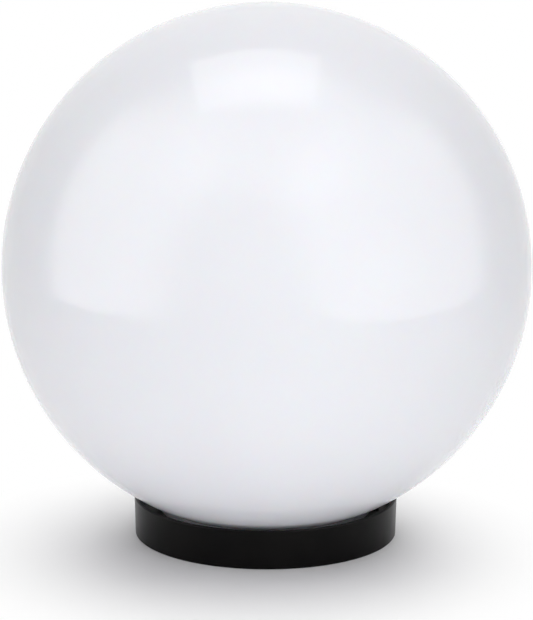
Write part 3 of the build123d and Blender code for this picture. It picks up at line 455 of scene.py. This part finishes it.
def make_globe(finish):
    """The opal shell, from the top of its outside over the neck to the top of its inside."""
    inner_radius = GLOBE_RADIUS - GLOBE_WALL
    outer_end = math.pi - math.asin(NECK_RADIUS / GLOBE_RADIUS)
    inner_end = math.pi - math.asin(NECK_BORE_RADIUS / inner_radius)
    outside = arc_points(GLOBE_RADIUS, GLOBE_CENTRE_Z, 0, outer_end, ARC_SEGMENTS)
    inside = arc_points(inner_radius, GLOBE_CENTRE_Z, inner_end, 0, ARC_SEGMENTS)
    lug_top = NECK_END_Z + LUG_HEIGHT
    neck = [
        (NECK_RADIUS, lug_top),
        (NECK_RADIUS, lug_top, LUG_RADIUS),
        (NECK_RADIUS, NECK_END_Z, LUG_RADIUS),
        (NECK_RADIUS, NECK_END_Z),
        (NECK_BORE_RADIUS, NECK_END_Z),
    ]
    outline = outside + neck + inside
    outline[0] = (0.0, GLOBE_CENTRE_Z + GLOBE_RADIUS)
    outline[-1] = (0.0, GLOBE_CENTRE_Z + inner_radius)
    shell = lathe("globe_shell", outline, TURN_SEGMENTS)
    shell.data.materials.append(finish)
    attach(shell, "globe")
    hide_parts("globe")


# ---- floor, world and lights --------------------------------------------------------------------

def make_world():
    """Weak even light; white where the camera, a mirror or glass looks straight at it."""
    world = bpy.data.worlds.new("studio")
    world.use_nodes = True
    bpy.context.scene.world = world
    nodes, links = world.node_tree.nodes, world.node_tree.links
    background = nodes["Background"]
    seen = looked_at(nodes, links)
    mix = nodes.new("ShaderNodeMix")
    mix.data_type = "RGBA"
    links.new(seen, mix.inputs["Factor"])
    mix.inputs["A"].default_value = (WORLD_LEVEL, WORLD_LEVEL, WORLD_LEVEL, 1)
    mix.inputs["B"].default_value = (1, 1, 1, 1)
    links.new(mix.outputs["Result"], background.inputs["Color"])


def looked_at(nodes, links):
    """1 where the camera, a mirror or glass looks straight at the background, 0 for other rays."""
    path = nodes.new("ShaderNodeLightPath")
    total = path.outputs["Is Camera Ray"]
    for name in ("Is Glossy Ray", "Is Transmission Ray"):
        add = nodes.new("ShaderNodeMath")
        add.operation = "ADD"
        add.use_clamp = True
        links.new(total, add.inputs[0])
        links.new(path.outputs[name], add.inputs[1])
        total = add.outputs[0]
    return total


def make_floor():
    """A plain pale floor that keeps the shadow near the object and goes to white away from it."""
    mesh = bpy.data.meshes.new("floor")
    corners = [(x * FLOOR_HALF, y * FLOOR_HALF, 0) for x, y in ((-1, -1), (1, -1), (1, 1), (-1, 1))]
    mesh.from_pydata(corners, [], [(0, 1, 2, 3)])
    floor = new_object("floor", mesh)
    material = bpy.data.materials.new("floor")
    material.use_nodes = True
    nodes, links = material.node_tree.nodes, material.node_tree.links
    shader = nodes["Principled BSDF"]
    shader.inputs["Base Color"].default_value = (*FLOOR_COLOUR, 1)
    shader.inputs["Roughness"].default_value = FLOOR_ROUGHNESS
    shader.inputs["Specular IOR Level"].default_value = 0.0
    white = nodes.new("ShaderNodeEmission")
    seen = looked_at(nodes, links)
    place = nodes.new("ShaderNodeTexCoord")
    reach = nodes.new("ShaderNodeVectorMath")
    reach.operation = "DISTANCE"
    reach.inputs[1].default_value = FLOOR_FADE_CENTRE
    links.new(place.outputs["Object"], reach.inputs[0])
    fade = nodes.new("ShaderNodeMapRange")
    fade.interpolation_type = "SMOOTHSTEP"
    fade.inputs["From Min"].default_value = FLOOR_FADE_START
    fade.inputs["From Max"].default_value = FLOOR_FADE_END
    links.new(reach.outputs["Value"], fade.inputs["Value"])
    share = nodes.new("ShaderNodeMath")
    share.operation = "MULTIPLY"
    links.new(fade.outputs["Result"], share.inputs[0])
    links.new(seen, share.inputs[1])
    mix = nodes.new("ShaderNodeMixShader")
    links.new(share.outputs[0], mix.inputs[0])
    links.new(shader.outputs[0], mix.inputs[1])
    links.new(white.outputs[0], mix.inputs[2])
    links.new(mix.outputs[0], nodes["Material Output"].inputs["Surface"])
    floor.data.materials.append(material)


def soften(data, edge):
    """Let a softbox fade out towards its edges, over this share of its width and height."""
    data.use_nodes = True
    nodes, links = data.node_tree.nodes, data.node_tree.links
    split = nodes.new("ShaderNodeSeparateXYZ")
    links.new(nodes.new("ShaderNodeNewGeometry").outputs["Parametric"], split.inputs[0])
    strength = None
    for axis in ("X", "Y"):
        for start, end in ((0.0, edge), (1.0, 1.0 - edge)):
            fade = nodes.new("ShaderNodeMapRange")
            fade.interpolation_type = "SMOOTHSTEP"
            fade.inputs["From Min"].default_value = start
            fade.inputs["From Max"].default_value = end
            links.new(split.outputs[axis], fade.inputs["Value"])
            if strength is None:
                strength = fade.outputs["Result"]
                continue
            both = nodes.new("ShaderNodeMath")
            both.operation = "MULTIPLY"
            links.new(strength, both.inputs[0])
            links.new(fade.outputs["Result"], both.inputs[1])
            strength = both.outputs[0]
    links.new(strength, nodes["Emission"].inputs["Strength"])


def softbox(name, place, target, width, height, radiance, edge, seen_by):
    """A softbox at place, aimed at target, that lights either by diffuse or by glossy reflection."""
    data = bpy.data.lights.new(name, "AREA")
    data.shape = "RECTANGLE"
    data.size = width
    data.size_y = height
    data.energy = radiance * math.pi * width * height
    light = bpy.data.objects.new(name, data)
    bpy.context.scene.collection.objects.link(light)
    light.location = place
    aim = Vector(target) - Vector(place)
    light.rotation_euler = aim.to_track_quat("-Z", "Y").to_euler()
    light.visible_camera = False
    light.visible_diffuse = seen_by == "diffuse"
    light.visible_glossy = seen_by == "glossy"
    if edge:
        soften(data, edge)


def round_place(azimuth, distance, height):
    """A place at an azimuth in degrees, 0 towards the camera and 90 to its right."""
    a = math.radians(azimuth)
    return Vector((distance * math.sin(a), -distance * math.cos(a), height))


def aimed_light(name, azimuth, elevation, distance, width, height, radiance, edge, seen_by):
    """A softbox aimed at the globe's centre, from an azimuth and elevation in degrees."""
    rise = math.radians(elevation)
    centre = Vector((0, 0, GLOBE_CENTRE_Z))
    place = centre + round_place(azimuth, distance * math.cos(rise), distance * math.sin(rise))
    softbox(name, place, centre, width, height, radiance, edge, seen_by)


def overhead_light(name, left, right, front, back, height, radiance, edge, seen_by):
    """A level softbox at a height over the globe's centre, between edges in metres from its axis."""
    place = Vector(((left + right) / 2, (front + back) / 2, GLOBE_CENTRE_Z + height))
    below = place - Vector((0, 0, 1))
    softbox(name, place, below, right - left, back - front, radiance, edge, seen_by)


def make_lights():
    """All softboxes of the two tables."""
    for row in AIMED_LIGHTS:
        aimed_light(*row)
    for row in OVERHEAD_LIGHTS:
        overhead_light(*row)


make_camera()
make_world()
make_floor()
make_lights()
finishes = make_finishes()
paint_nodes(finishes)
make_globe(finishes["opal_acrylic"])

scene = bpy.context.scene
scene.view_settings.view_transform = "Standard"
